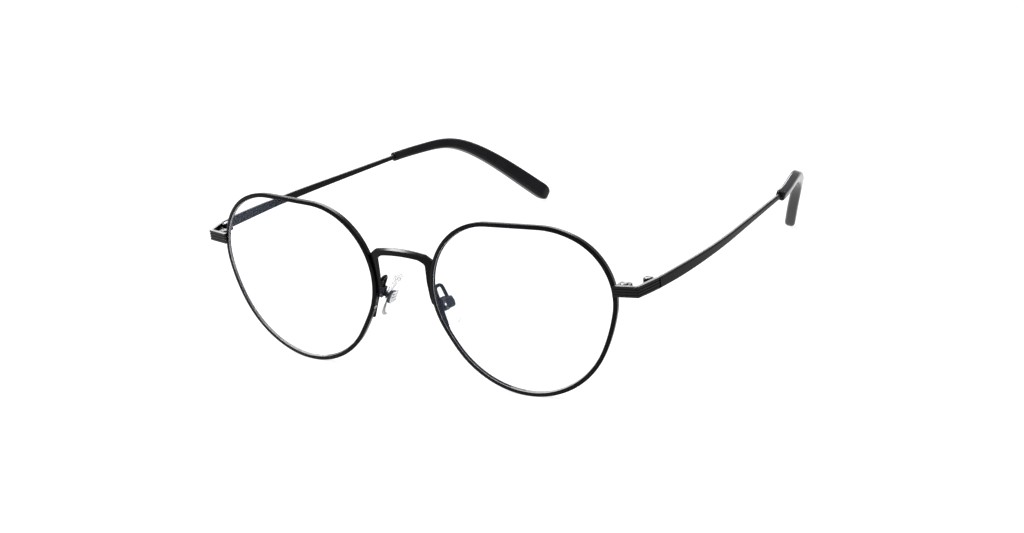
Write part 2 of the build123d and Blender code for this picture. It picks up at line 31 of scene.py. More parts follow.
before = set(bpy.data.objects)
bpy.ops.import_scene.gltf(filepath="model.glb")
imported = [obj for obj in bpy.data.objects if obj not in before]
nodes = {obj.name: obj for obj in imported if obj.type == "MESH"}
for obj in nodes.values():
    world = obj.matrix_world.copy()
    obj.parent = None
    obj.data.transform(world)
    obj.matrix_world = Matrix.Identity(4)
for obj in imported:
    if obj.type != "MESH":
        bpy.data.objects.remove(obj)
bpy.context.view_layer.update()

MM = 0.001
ORIGIN_Y, ORIGIN_Z = -66.00, 23.69      # the front frame's origin in the row frame


def row(x, y, z):
    return Vector((x * MM, (y + ORIGIN_Y) * MM, (z + ORIGIN_Z) * MM))


# ------------------------------------------------------------------ camera
AZIMUTH, ELEVATION, ROLL = 0.68272, 0.36280, -0.13528      # radians
DISTANCE = 508.19                   # from the front frame's origin
IMAGE = (1024, 533)
FOCAL_PX = 2039.44
ORIGIN_PX = (399.61, 294.13)        # where that origin lands in the image
SENSOR_WIDTH = 36


def make_camera():
    """The photograph's camera, turned off the origin instead of shifted."""
    back = Vector((
        math.sin(AZIMUTH) * math.cos(ELEVATION),
        -math.cos(AZIMUTH) * math.cos(ELEVATION),
        math.sin(ELEVATION),
    ))
    forward = -back
    right = Vector((math.cos(AZIMUTH), math.sin(AZIMUTH), 0))
    up = right.cross(forward)
    right, up = (
        right * math.cos(ROLL) + up * math.sin(ROLL),
        up * math.cos(ROLL) - right * math.sin(ROLL),
    )
    dx, dy = ORIGIN_PX[0] - IMAGE[0] / 2, ORIGIN_PX[1] - IMAGE[1] / 2
    yaw = math.atan(dx / FOCAL_PX)
    forward, right = (
        forward * math.cos(yaw) - right * math.sin(yaw),
        right * math.cos(yaw) + forward * math.sin(yaw),
    )
    pitch = math.atan(dy / math.hypot(FOCAL_PX, dx))
    forward, up = (
        forward * math.cos(pitch) + up * math.sin(pitch),
        up * math.cos(pitch) - forward * math.sin(pitch),
    )
    data = bpy.data.cameras.new("camera")
    data.sensor_fit = "HORIZONTAL"
    data.sensor_width = SENSOR_WIDTH
    data.lens = FOCAL_PX * SENSOR_WIDTH / IMAGE[0]
    data.clip_start, data.clip_end = 0.02, 30
    camera = bpy.data.objects.new("camera", data)
    bpy.context.scene.collection.objects.link(camera)
    place = row(*(back * DISTANCE))
    matrix = camera.matrix_world.copy()
    for i in range(3):
        matrix[i][:] = right[i], up[i], -forward[i], place[i]
    camera.matrix_world = matrix
    bpy.context.scene.camera = camera


make_camera()


# ------------------------------------------------------------------ mesh helpers
def new_object(name, mesh):
    piece = bpy.data.objects.new(name, mesh)
    bpy.context.scene.collection.objects.link(piece)
    return piece


def finish_mesh(bm, name, sharp_deg=34):
    """Turns a bmesh into an object with smooth faces and sharp edges above an angle."""
    bmesh.ops.remove_doubles(bm, verts=bm.verts, dist=1e-7)
    bmesh.ops.recalc_face_normals(bm, faces=bm.faces)
    limit = math.radians(sharp_deg)
    for face in bm.faces:
        face.smooth = True
    for edge in bm.edges:
        if len(edge.link_faces) == 2 and edge.calc_face_angle() > limit:
            edge.smooth = False
    mesh = bpy.data.meshes.new(name)
    bm.to_mesh(mesh)
    bm.free()
    return new_object(name, mesh)


def add_skin(bm, rings, index=0, first_index=None):
    """Adds a closed surface through rings with equal numbers of points, in metres."""
    loops = [[bm.verts.new(p) for p in ring] for ring in rings]
    count = len(loops[0])
    faces = []
    for a, b in zip(loops, loops[1:]):
        for i in range(count):
            j = (i + 1) % count
            faces.append(bm.faces.new((a[i], a[j], b[j], b[i])))
    faces.append(bm.faces.new(loops[-1]))
    for face in faces:
        face.material_index = index
    bm.faces.new(loops[0][::-1]).material_index = index if first_index is None else first_index


def skin(name, rings, sharp_deg=34):
    """An object that is one closed surface through rings."""
    bm = bmesh.new()
    add_skin(bm, rings)
    return finish_mesh(bm, name, sharp_deg)


def rounded_section(half_x, half_y, radius, steps=4):
    """Points of a rectangle with rounded corners, counterclockwise."""
    radius = min(radius, half_x * 0.98, half_y * 0.98)
    points = []
    for k, (sx, sy) in enumerate(((1, 1), (-1, 1), (-1, -1), (1, -1))):
        for step in range(steps + 1):
            turn = math.radians(90 * k + 90 * step / steps)
            points.append((
                sx * (half_x - radius) + radius * math.cos(turn),
                sy * (half_y - radius) + radius * math.sin(turn),
            ))
    return points


def weighted(piece):
    modifier = piece.modifiers.new("normals", "WEIGHTED_NORMAL")
    modifier.keep_sharp = True
    return piece


def hermite(t):
    """Weights of a cubic's start, start slope, end and end slope at share t of its span."""
    return (
        2 * t**3 - 3 * t**2 + 1, t**3 - 2 * t**2 + t,
        3 * t**2 - 2 * t**3, t**3 - t**2,
    )


def smooth_value(table, x):
    """Smooth interpolation through (x, value) pairs."""
    xs = [p[0] for p in table]
    if x <= xs[0]:
        return table[0][1]
    if x >= xs[-1]:
        return table[-1][1]
    k = max(i for i in range(len(xs) - 1) if xs[i] <= x)

    def slope(i):
        low, high = max(i - 1, 0), min(i + 1, len(table) - 1)
        return (table[high][1] - table[low][1]) / (xs[high] - xs[low])

    h = xs[k + 1] - xs[k]
    at_a, slope_a, at_b, slope_b = hermite((x - xs[k]) / h)
    return (
        at_a * table[k][1] + slope_a * (slope(k) * h)
        + at_b * table[k + 1][1] + slope_b * (slope(k + 1) * h)
    )


# ------------------------------------------------------------------ materials
NOISE_ROUGHNESS = 0.55
NOISE_LOW, NOISE_HIGH = 0.3, 0.7      # where most of a noise texture's values lie


def material(name):
    mat = bpy.data.materials.new(name)
    mat.use_nodes = True
    tree = mat.node_tree
    tree.nodes.clear()
    out = tree.nodes.new("ShaderNodeOutputMaterial")
    bsdf = tree.nodes.new("ShaderNodeBsdfPrincipled")
    tree.links.new(bsdf.outputs[0], out.inputs[0])
    coords = tree.nodes.new("ShaderNodeTexCoord")
    return mat, tree, bsdf, coords, out


def noise(tree, coords, scale, detail=4.0, stretch=None):
    node = tree.nodes.new("ShaderNodeTexNoise")
    node.inputs["Scale"].default_value = scale
    node.inputs["Detail"].default_value = detail
    node.inputs["Roughness"].default_value = NOISE_ROUGHNESS
    if stretch:
        mapping = tree.nodes.new("ShaderNodeMapping")
        mapping.inputs["Scale"].default_value = stretch
        tree.links.new(coords.outputs["Object"], mapping.inputs["Vector"])
        tree.links.new(mapping.outputs["Vector"], node.inputs["Vector"])
    else:
        tree.links.new(coords.outputs["Object"], node.inputs["Vector"])
    return node


def ramp(tree, source, stops):
    node = tree.nodes.new("ShaderNodeValToRGB")
    elements = node.color_ramp.elements
    while len(elements) < len(stops):
        elements.new(0.5)
    for element, (place, colour) in zip(elements, stops):
        element.position = place
        element.color = (*colour, 1)
    tree.links.new(source, node.inputs["Fac"])
    return node


def spread(tree, source, low, high):
    node = tree.nodes.new("ShaderNodeMapRange")
    node.inputs["From Min"].default_value = NOISE_LOW
    node.inputs["From Max"].default_value = NOISE_HIGH
    node.inputs["To Min"].default_value = low
    node.inputs["To Max"].default_value = high
    tree.links.new(source, node.inputs["Value"])
    return node


def bump(tree, bsdf, source, distance, strength):
    node = tree.nodes.new("ShaderNodeBump")
    node.inputs["Distance"].default_value = distance
    node.inputs["Strength"].default_value = strength
    tree.links.new(source, node.inputs["Height"])
    tree.links.new(node.outputs["Normal"], bsdf.inputs["Normal"])
    return node


CLOUD_SCALE, SMEAR_SCALE, GRAIN_STRENGTH = 260, 620, 0.35


def coated(
    name, dark, light, rough, grain, grain_depth, shine=0.5, metallic=0.0, stretch=None
):
    """A coloured surface with cloudy colour, uneven gloss and a fine grain grain_depth m deep."""
    mat, tree, bsdf, coords, _ = material(name)
    cloud = noise(tree, coords, CLOUD_SCALE)
    tint = ramp(tree, cloud.outputs["Fac"], [(0.32, dark), (0.68, light)])
    tree.links.new(tint.outputs["Color"], bsdf.inputs["Base Color"])
    smear = noise(tree, coords, SMEAR_SCALE, detail=6, stretch=stretch)
    gloss = spread(tree, smear.outputs["Fac"], *rough)
    tree.links.new(gloss.outputs["Result"], bsdf.inputs["Roughness"])
    fine = noise(tree, coords, grain, detail=3, stretch=stretch)
    bump(tree, bsdf, fine.outputs["Fac"], grain_depth, GRAIN_STRENGTH)
    bsdf.inputs["Metallic"].default_value = metallic
    bsdf.inputs["Specular IOR Level"].default_value = shine
    return mat


black_metal = coated(
    "black_metal", (0.0010, 0.0010, 0.0016), (0.0024, 0.0024, 0.0034), rough=(0.22, 0.32),
    grain=5200, grain_depth=0.000010, shine=0.075,
)
cut_metal = coated(
    "cut_metal", (0.0016, 0.0016, 0.0022), (0.0034, 0.0034, 0.0042), rough=(0.20, 0.30),
    grain=5200, grain_depth=0.000008, shine=0.18, stretch=(1, 1, 8),
)
black_acetate = coated(
    "black_acetate", (0.0045, 0.0044, 0.0052), (0.0080, 0.0078, 0.0094), rough=(0.12, 0.18),
    grain=900, grain_depth=0.000003, shine=0.15,
)
dark_steel = coated(
    "dark_steel", (0.050, 0.050, 0.056), (0.11, 0.11, 0.12), rough=(0.26, 0.42),
    grain=3500, grain_depth=0.00001, metallic=1.0, stretch=(1, 1, 6),
)
box_navy = coated(
    "box_navy", (0.007, 0.009, 0.015), (0.014, 0.017, 0.027), rough=(0.22, 0.34),
    grain=2600, grain_depth=0.00001, shine=0.25,
)
bright_steel = coated(
    "bright_steel", (0.62, 0.62, 0.64), (0.82, 0.82, 0.84), rough=(0.20, 0.32),
    grain=3500, grain_depth=0.00001, metallic=1.0, stretch=(1, 5, 1),
)


LENS_IOR, FILM_BLEND = 1.50, 0.30
MIRROR_FACING, MIRROR_GRAZING = 0.002, 0.085      # the film's share of reflected light


def lens_material():
    """Clear plastic that bends light; its anti-reflection film leaves a faint blue mirror."""
    mat, tree, bsdf, coords, out = material("clear_lens")
    tree.nodes.remove(bsdf)
    cloud = noise(tree, coords, 60, detail=2)
    tint = ramp(
        tree, cloud.outputs["Fac"],
        [(NOISE_LOW, (0.980, 0.990, 0.996)), (NOISE_HIGH, (0.990, 0.994, 0.996))],
    )
    clear = tree.nodes.new("ShaderNodeBsdfRefraction")
    clear.inputs["Roughness"].default_value = 0.0
    clear.inputs["IOR"].default_value = LENS_IOR
    tree.links.new(tint.outputs["Color"], clear.inputs["Color"])
    mirror = tree.nodes.new("ShaderNodeBsdfGlossy")
    mirror.inputs["Color"].default_value = (0.62, 0.74, 1.0, 1)
    mirror.inputs["Roughness"].default_value = 0.01
    film = tree.nodes.new("ShaderNodeLayerWeight")
    film.inputs["Blend"].default_value = FILM_BLEND
    share = tree.nodes.new("ShaderNodeMapRange")
    share.inputs["To Min"].default_value = MIRROR_FACING
    share.inputs["To Max"].default_value = MIRROR_GRAZING
    tree.links.new(film.outputs["Facing"], share.inputs["Value"])
    mix = tree.nodes.new("ShaderNodeMixShader")
    tree.links.new(share.outputs["Result"], mix.inputs[0])
    tree.links.new(clear.outputs[0], mix.inputs[1])
    tree.links.new(mirror.outputs[0], mix.inputs[2])
    tree.links.new(mix.outputs[0], out.inputs[0])
    return mat


clear_lens = lens_material()


# Painted shade on the ground edge: row heights in metres between which it turns from dark to pale,
# and its low share.
EDGE_DARK_Z, EDGE_PALE_Z, EDGE_PAINTED_SHADE_SHARE = 0.016, 0.027, 0.24


def ground_edge_material():
    """The lens's ground edge, matt: pale by the hinges, and darkened lower down in the groove by
    painted shade.
    """
    mat, tree, bsdf, coords, _ = material("ground_edge")
    cloud = noise(tree, coords, 900, detail=5)
    tint = ramp(
        tree, cloud.outputs["Fac"],
        [(NOISE_LOW, (0.88, 0.86, 0.83)), (NOISE_HIGH, (0.97, 0.955, 0.93))],
    )
    axes = tree.nodes.new("ShaderNodeSeparateXYZ")
    tree.links.new(coords.outputs["Object"], axes.inputs[0])
    # Painted shade: the edge's colour is scaled down towards its bottom.
    shade = tree.nodes.new("ShaderNodeMapRange")
    shade.interpolation_type = "SMOOTHSTEP"
    shade.inputs["From Min"].default_value = EDGE_DARK_Z
    shade.inputs["From Max"].default_value = EDGE_PALE_Z
    shade.inputs["To Min"].default_value = EDGE_PAINTED_SHADE_SHARE
    shade.inputs["To Max"].default_value = 1.0
    tree.links.new(axes.outputs["Z"], shade.inputs["Value"])
    dim = tree.nodes.new("ShaderNodeVectorMath")
    dim.operation = "SCALE"
    tree.links.new(tint.outputs["Color"], dim.inputs[0])
    tree.links.new(shade.outputs["Result"], dim.inputs["Scale"])
    tree.links.new(dim.outputs["Vector"], bsdf.inputs["Base Color"])
    gloss = spread(tree, cloud.outputs["Fac"], 0.45, 0.65)
    tree.links.new(gloss.outputs["Result"], bsdf.inputs["Roughness"])
    bump(tree, bsdf, cloud.outputs["Fac"], 0.00001, 0.3)
    return mat


ground_edge = ground_edge_material()


SILICONE_IOR, GRAZING_BLEND = 1.37, 0.25
FACE_ON, GRAZED = (0.40, (0.95, 0.955, 0.965)), (0.90, (0.66, 0.68, 0.72))


def silicone_material():
    """Clear soft silicone, faintly frosted, a little greyer where the eye grazes it."""
    mat, tree, bsdf, coords, _ = material("clear_silicone")
    cloud = noise(tree, coords, 420, detail=3)
    gloss = spread(tree, cloud.outputs["Fac"], 0.09, 0.18)
    tree.links.new(gloss.outputs["Result"], bsdf.inputs["Roughness"])
    bump(tree, bsdf, cloud.outputs["Fac"], 0.00003, 0.10)
    grazing = tree.nodes.new("ShaderNodeLayerWeight")
    grazing.inputs["Blend"].default_value = GRAZING_BLEND
    tint = ramp(tree, grazing.outputs["Facing"], [FACE_ON, GRAZED])
    tree.links.new(tint.outputs["Color"], bsdf.inputs["Base Color"])
    bsdf.inputs["Transmission Weight"].default_value = 1.0
    bsdf.inputs["IOR"].default_value = SILICONE_IOR
    return mat


clear_silicone = silicone_material()


def dress(piece, mat):
    """Gives a piece its material; clearing an empty list would still reset the faces' indices."""
    if piece.data.materials:
        piece.data.materials.clear()
    piece.data.materials.append(mat)
    return piece


def mirrored(piece, name):
    """The wearer's right twin of a left piece, with weighted normals if the left one has them."""
    mesh = piece.data.copy()
    for vertex in mesh.vertices:
        vertex.co.x = -vertex.co.x
    mesh.flip_normals()
    twin = new_object(name, mesh)
    return weighted(twin) if piece.modifiers else twin


def place_pair(piece, base, body, mat, slot, *stands_for):
    """Dresses a left piece, makes its twin and puts both on their bodies."""
    dress(piece, mat)
    twin = mirrored(piece, "right_" + base)
    for side, part in (("left", piece), ("right", twin)):
        part.name = f"{side}_{base}"
        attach(part, body.replace("SIDE", side))
        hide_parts(*[f"{side}_{n}" for n in stands_for])
    return piece, twin


# ------------------------------------------------------------------ lens outline
LENS_CENTRE_X = 34.74
WRAP = math.radians(3.75)                 # how far each lens is turned back round the face
SPHERE_R = 107.2                          # the rim's front follows this sphere
OUTLINE_DEPTH = 2.8                       # how deep on the sphere the outline holds as drawn
LEAN = math.tan(math.radians(13.2))       # how the edge draws in where it lies deeper
# The outline in the lens's own plane: its first point, and (radius, turn in degrees) arcs
# from there. The two radii left open are solved so that it closes.
RIM_START_ANGLE = -13.66
RIM_START = (25.18, 0.36)
RIM_ARCS = [
    (16.14, 77.9), (21.57, 26.2), (516.07, 1.6), (18.82, 117.7),
    (77.17, 4.7), (None, 71.3), (None, 47.0), (44.57, 13.6),
]
LENS_X = Vector((math.cos(WRAP), math.sin(WRAP), 0))
LENS_BACK = Vector((-math.sin(WRAP), math.cos(WRAP), 0))


def direction(degrees):
    return Vector((math.cos(math.radians(degrees)), math.sin(math.radians(degrees))))


def closed_arcs():
    """The rim's arcs, with the two free radii solved so that the outline closes."""
    angle, free, missing = RIM_START_ANGLE, [], Vector((0, 0))
    for radius, turn in RIM_ARCS:
        chord = direction(angle + turn) - direction(angle)
        if radius is None:
            free.append(chord)
        else:
            missing -= chord * radius
        angle += turn
    a, b = free
    determinant = a.x * b.y - b.x * a.y
    solved = [
        (missing.x * b.y - missing.y * b.x) / determinant,
        (a.x * missing.y - a.y * missing.x) / determinant,
    ]
    return [(solved.pop(0) if r is None else r, turn) for r, turn in RIM_ARCS]


def outline_samples(pitch):
    """(point, outward normal) round the lens, about pitch mm apart."""
    samples = []
    here, angle = Vector(RIM_START), RIM_START_ANGLE
    for radius, turn in closed_arcs():
        centre = here - direction(angle) * radius
        count = max(2, round(radius * math.radians(turn) / pitch))
        for i in range(count):
            n = direction(angle + turn * i / count)
            samples.append((centre + n * radius, n))
        here = centre + direction(angle + turn) * radius
        angle += turn
    return samples


def on_lens(sample, across, behind):
    """A point of rim or lens: across the wire from its centreline, behind the front sphere."""
    point, normal = sample
    depth = OUTLINE_DEPTH
    for _ in range(5):      # place and depth depend on each other; this settles both
        flat = point + normal * (across - (depth - OUTLINE_DEPTH) * LEAN)
        depth = SPHERE_R - math.sqrt((SPHERE_R - behind) ** 2 - flat.length_squared)
    return lens_point(flat, depth)


def lens_point(flat, depth):
    place = Vector((LENS_CENTRE_X, 0, 0)) + LENS_X * flat.x + LENS_BACK * depth
    return row(place.x, place.y, flat.y)


# ------------------------------------------------------------------ rims and lenses
RIM_WIDTH, RIM_DEPTH, RIM_PITCH = 1.15, 1.80, 0.42
RIM_FRONT_R, RIM_REAR_R, RIM_R_STEPS = 0.26, 0.16, 5
RIM_GROOVE_HALF, RIM_GROOVE_DEPTH = 0.31, 0.30
CUT_Z, CUT_HALF = 6.44, 0.06      # the cut that the closing blocks pull shut
TEMPLE_SIDE_X = 15                # beyond this, the outline is on the cut's side


def rim_profile():
    """Section of the rim wire: (across, behind), with the lens groove in the inner wall."""
    a = RIM_WIDTH / 2
    points = []
    for x, y, radius, start in (
        (a, RIM_DEPTH, RIM_REAR_R, 0), (-a, RIM_DEPTH, RIM_REAR_R, 90),
        (-a, 0, RIM_FRONT_R, 180), (a, 0, RIM_FRONT_R, 270),
    ):
        sx, sy = (1 if x > 0 else -1), (1 if y > 0 else -1)
        for step in range(RIM_R_STEPS + 1):
            turn = math.radians(start + 90 * step / RIM_R_STEPS)
            points.append((
                x - sx * radius + radius * math.cos(turn),
                y - sy * radius + radius * math.sin(turn),
            ))
        if start == 90:
            middle = RIM_DEPTH / 2
            points += [
                (-a, middle + RIM_GROOVE_HALF), (-a + RIM_GROOVE_DEPTH, middle),
                (-a, middle - RIM_GROOVE_HALF),
            ]
    return points


def temple_side_sample(z):
    """The outline's sample at a height, on the temple side's first arc."""
    radius = closed_arcs()[0][0]
    centre = Vector(RIM_START) - direction(RIM_START_ANGLE) * radius
    turn = math.degrees(math.asin((z - centre.y) / radius))
    return centre + direction(turn) * radius, direction(turn)


def rim_mesh():
    """The wire, open at the cut on the temple side."""
    samples = outline_samples(RIM_PITCH)
    temple_side = [i for i, (point, _) in enumerate(samples) if point.x > TEMPLE_SIDE_X]
    cut_at = min(temple_side, key=lambda i: abs(samples[i][0].y - CUT_Z))
    order = [
        temple_side_sample(CUT_Z + CUT_HALF), *samples[cut_at + 1:], *samples[:cut_at],
        temple_side_sample(CUT_Z - CUT_HALF),
    ]
    profile = rim_profile()
    return skin("left_rim_wire", [[on_lens(s, x, y) for x, y in profile] for s in order])


place_pair(weighted(rim_mesh()), "rim_wire", "front", black_metal, "black_metal", "rim")

LENS_FRONT, LENS_REAR = 0.15, 1.65      # the lens's faces, behind the rim's front
LENS_GAP, LENS_BEVEL = 0.02, 0.30
LENS_PITCH, LENS_STEPS = 0.7, 26        # along the outline, and from the centre to it
# Slot 2 is painted shade: black metal on the lens edge's rear bands, where the groove shades it.
EDGE, PAINTED_SHADE = 1, 2                     # material slots beside the clear pane's


def edge_slot(band, flat):
    """The slot of a band of the lens's edge; its rear bands get black metal as painted shade,
    standing for the groove's shadow and the dark rim showing through.
    """
    rear_bevel = band == 2 and flat.x < -6
    rear_flat = band == 3 and (flat.y > 0 or flat.x < -2)
    return PAINTED_SHADE if rear_bevel or rear_flat else EDGE


def lens_sheet(samples, wall, behind):
    """Rings of one face of the lens, from near its centre almost to its edge."""
    sheet = []
    for step in range(1, LENS_STEPS):
        ring = []
        for point, normal in samples:
            flat = (point + normal * wall) * (step / LENS_STEPS)
            depth = SPHERE_R - math.sqrt((SPHERE_R - behind) ** 2 - flat.length_squared)
            ring.append(lens_point(flat, depth))
        sheet.append(ring)
    return sheet


def lens_mesh():
    wall, middle = -RIM_WIDTH / 2 - LENS_GAP, RIM_DEPTH / 2
    edge = [
        (wall, LENS_FRONT), (wall, middle - LENS_BEVEL), (wall + LENS_BEVEL, middle),
        (wall, middle + LENS_BEVEL), (wall, LENS_REAR),
    ]
    ring_samples = outline_samples(LENS_PITCH)
    bm = bmesh.new()
    front_sheet = lens_sheet(ring_samples, wall, LENS_FRONT)
    back_sheet = lens_sheet(ring_samples, wall, LENS_REAR)
    front_centre = lens_point(Vector((0, 0)), LENS_FRONT)
    back_centre = lens_point(Vector((0, 0)), LENS_REAR)
    edges = [[on_lens(s, x, y) for s in ring_samples] for x, y in edge]
    loops = [[bm.verts.new(p) for p in ring] for ring in front_sheet + edges + back_sheet[::-1]]
    first, last = bm.verts.new(front_centre), bm.verts.new(back_centre)
    count = len(ring_samples)
    for i in range(count):
        j = (i + 1) % count
        bm.faces.new((first, loops[0][j], loops[0][i]))
        bm.faces.new((last, loops[-1][i], loops[-1][j]))
        for k, (a, b) in enumerate(zip(loops, loops[1:])):
            face = bm.faces.new((a[i], a[j], b[j], b[i]))
            band = k - len(front_sheet)
            if 0 <= band < len(edge) - 1:
                face.material_index = edge_slot(band, ring_samples[i][0])
    return finish_mesh(bm, "left_lens_pane", 30)


for pane in place_pair(lens_mesh(), "lens_pane", "front", clear_lens, "clear_lens", "lens"):
    pane.data.materials.append(ground_edge)
    # Slot 2, black metal, is painted shade on the edge's rear bands.
    pane.data.materials.append(black_metal)
    pane.visible_shadow = False

# ------------------------------------------------------------------ end pieces
END_CENTRE_Z, END_HEIGHT, END_THICKNESS = 6.62, 2.78, 1.00
END_CORNER = Vector((66.30, 5.30))
END_FRONT, END_SIDE = 6.55, 7.30
FRONT_RUN = direction(11.7)
SIDE_RUN = direction(90 - 13.6)
GROOVE_PITCH, GROOVE_WIDTH, GROOVE_DEPTH, GROOVE_LIP = 0.68, 0.26, 0.22, 0.05
GROOVE_FLOOR_SOFT, END_SOFT, FOLD_R, FOLD_STEPS = 0.04, 0.09, 0.42, 7
END_SHARES = (0, 0.012, 0.25, 0.5, 0.75, 1)      # stations from an end of the strip to the fold


def end_profile():
    """(inward, height) of the grooved strip, edges softened."""
    half, soft = END_HEIGHT / 2, END_SOFT
    points = [(END_THICKNESS, half - soft), (END_THICKNESS - soft, half), (soft * 1.4, half)]
    points += [(soft * 0.4, half - soft * 0.4), (0, half - soft * 1.4)]
    for k in (1, 0, -1):
        top = k * GROOVE_PITCH + GROOVE_WIDTH / 2
        low = k * GROOVE_PITCH - GROOVE_WIDTH / 2
        points += [
            (0, top + GROOVE_LIP), (GROOVE_LIP, top),
            (GROOVE_DEPTH, top - GROOVE_FLOOR_SOFT), (GROOVE_DEPTH, low + GROOVE_FLOOR_SOFT),
            (GROOVE_LIP, low), (0, low - GROOVE_LIP),
        ]
    points += [(0, -half + soft * 1.4), (soft * 0.4, -half + soft * 0.4), (soft * 1.4, -half)]
    points += [(END_THICKNESS - soft, -half), (END_THICKNESS, -half + soft)]
    return points


def end_mesh():
    """The strip along the front, round the fold and back along the side."""
    front_in = Vector((-FRONT_RUN.y, FRONT_RUN.x))
    side_in = Vector((-SIDE_RUN.y, SIDE_RUN.x))
    fold = math.acos(front_in.dot(side_in))
    back_off = FOLD_R * math.tan(fold / 2)
    hub = END_CORNER - FRONT_RUN * back_off + front_in * FOLD_R
    mitre = (front_in + side_in).normalized()
    # Each station is its place, its inward direction and whether it is on the fold.
    stations = []
    start, end = END_CORNER - FRONT_RUN * END_FRONT, END_CORNER - FRONT_RUN * back_off
    for share in END_SHARES:
        stations.append((start.lerp(end, share), front_in, share == 1))
    for k in range(1, FOLD_STEPS):
        turn = fold * k / FOLD_STEPS
        c, s = math.cos(turn), math.sin(turn)
        inward = Vector((front_in.x * c - front_in.y * s, front_in.x * s + front_in.y * c))
        stations.append((hub - inward * FOLD_R, inward, True))
    start, end = END_CORNER + SIDE_RUN * back_off, END_CORNER + SIDE_RUN * END_SIDE
    for share in reversed(END_SHARES):
        stations.append((start.lerp(end, 1 - share), side_in, share == 1))
    rings = []
    for place, inward, on_fold in stations:
        ring = []
        for depth, height in end_profile():
            if on_fold and depth >= FOLD_R:
                spot = END_CORNER + mitre * (depth / math.cos(fold / 2))
            else:
                spot = place + inward * depth
            ring.append(row(spot.x, spot.y, END_CENTRE_Z + height))
        rings.append(ring)
    return skin("left_end_strip", rings, sharp_deg=28)


place_pair(weighted(end_mesh()), "end_strip", "front", cut_metal, "black_metal", "end_piece")

# ------------------------------------------------------------------ temples and tips
TEMPLE_START = Vector((67.52, 12.80))
START_ANGLE, BOW_R, BOW_TURN = 4.0, 225.0, 10.2      # degrees, mm, degrees
TEMPLE_THICKNESS, TEMPLE_CORNER, TEMPLE_END_Y, TEMPLE_PITCH = 1.15, 0.42, 84.8, 1.2
START_Z, DROOP = 6.50, -0.043
# (place on Y, the blade's height there)
TEMPLE_HEIGHTS = [(12.80, 2.72), (22.0, 2.78), (42.0, 2.15), (62.0, 1.66), (84.8, 1.28)]


def temple_plan(length):
    """(point, backward direction) at a length along the temple's centreline in plan."""
    bow = BOW_R * math.radians(BOW_TURN)
    hub = TEMPLE_START - direction(-START_ANGLE) * BOW_R
    turn = math.degrees(min(length, bow) / BOW_R)
    out = direction(-START_ANGLE + turn)
    back = Vector((-out.y, out.x))
    point = hub + out * BOW_R
    if length > bow:
        point += back * (length - bow)
    return point, back


def temple_mesh():
    rings = []
    length = 0.0
    while True:
        point, back = temple_plan(length)
        if point.y > TEMPLE_END_Y:
            point += back * ((TEMPLE_END_Y - point.y) / back.y)
        height = smooth_value(TEMPLE_HEIGHTS, point.y)
        z = START_Z + DROOP * (point.y - TEMPLE_START.y)
        out = Vector((back.y, -back.x))
        rings.append([
            row(point.x + out.x * a, point.y + out.y * a, z + b)
            for a, b in rounded_section(TEMPLE_THICKNESS / 2, height / 2, TEMPLE_CORNER, 6)
        ])
        if point.y >= TEMPLE_END_Y - 1e-6:
            break
        length += TEMPLE_PITCH
    return skin("left_temple_blade", rings, sharp_deg=50)


place_pair(
    weighted(temple_mesh()), "temple_blade", "SIDE_temple_arm", black_metal, "black_metal", "temple"
)

TIP_POINTS = [
    (63.50, 84.0, 3.44), (60.90, 95.4, 2.90), (58.00, 104.6, 1.60),
    (54.00, 113.2, -3.40), (48.40, 121.4, -11.70), (41.80, 130.93, -22.53),
]
# (share of the sleeve's length, (height, thickness) there)
TIP_SECTIONS = [
    (0.0, (2.65, 2.55)), (0.119, (2.70, 2.60)), (0.239, (2.80, 2.66)), (0.358, (3.05, 2.74)),
    (0.478, (3.45, 2.84)), (0.597, (3.90, 2.92)), (0.716, (4.30, 3.00)), (0.836, (4.58, 3.04)),
    (0.955, (4.70, 3.04)), (1.0, (4.70, 3.04)),
]


def spline_path(points, first, last, per_span=14):
    """Twice-smooth curve through the points with given end directions, by chord lengths."""
    pts = [Vector(p) for p in points]
    knots = [0.0]
    for a, b in zip(pts, pts[1:]):
        knots.append(knots[-1] + (b - a).length)
    n = len(pts)
    slopes = [None] * n
    slopes[0], slopes[-1] = Vector(first).normalized(), Vector(last).normalized()
    # Thomas algorithm for a clamped cubic spline's inner slopes.
    lower, diag, upper, rhs = [], [], [], []
    for i in range(1, n - 1):
        h0, h1 = knots[i] - knots[i - 1], knots[i + 1] - knots[i]
        lower.append(h1)
        diag.append(2 * (h0 + h1))
        upper.append(h0)
        term = ((pts[i] - pts[i - 1]) * (h1 / h0) + (pts[i + 1] - pts[i]) * (h0 / h1)) * 3
        if i == 1:
            term -= slopes[0] * h1
        if i == n - 2:
            term -= slopes[-1] * h0
        rhs.append(term)
    for i in range(1, len(diag)):
        w = lower[i] / diag[i - 1]
        diag[i] -= w * upper[i - 1]
        rhs[i] = rhs[i] - rhs[i - 1] * w
    for i in reversed(range(len(diag))):
        value = rhs[i] if i == len(diag) - 1 else rhs[i] - slopes[i + 2] * upper[i]
        slopes[i + 1] = value / diag[i]
    path = []
    for i in range(n - 1):
        h = knots[i + 1] - knots[i]
        for k in range(per_span + (1 if i == n - 2 else 0)):
            at_a, slope_a, at_b, slope_b = hermite(k / per_span)
            path.append(
                pts[i] * at_a + slopes[i] * (h * slope_a)
                + pts[i + 1] * at_b + slopes[i + 1] * (h * slope_b)
            )
    return path


def at_share(path, share):
    """(point, direction) at a share of the path's length."""
    lengths = [0.0]
    for a, b in zip(path, path[1:]):
        lengths.append(lengths[-1] + (b - a).length)
    goal = share * lengths[-1]
    k = max(i for i in range(len(path) - 1) if lengths[i] <= goal + 1e-9)
    t = (goal - lengths[k]) / (lengths[k + 1] - lengths[k])
    start = (path[k + 1] - path[max(k - 1, 0)]).normalized()
    end = (path[min(k + 2, len(path) - 1)] - path[k]).normalized()
    return path[k].lerp(path[k + 1], t), start.lerp(end, t).normalized()


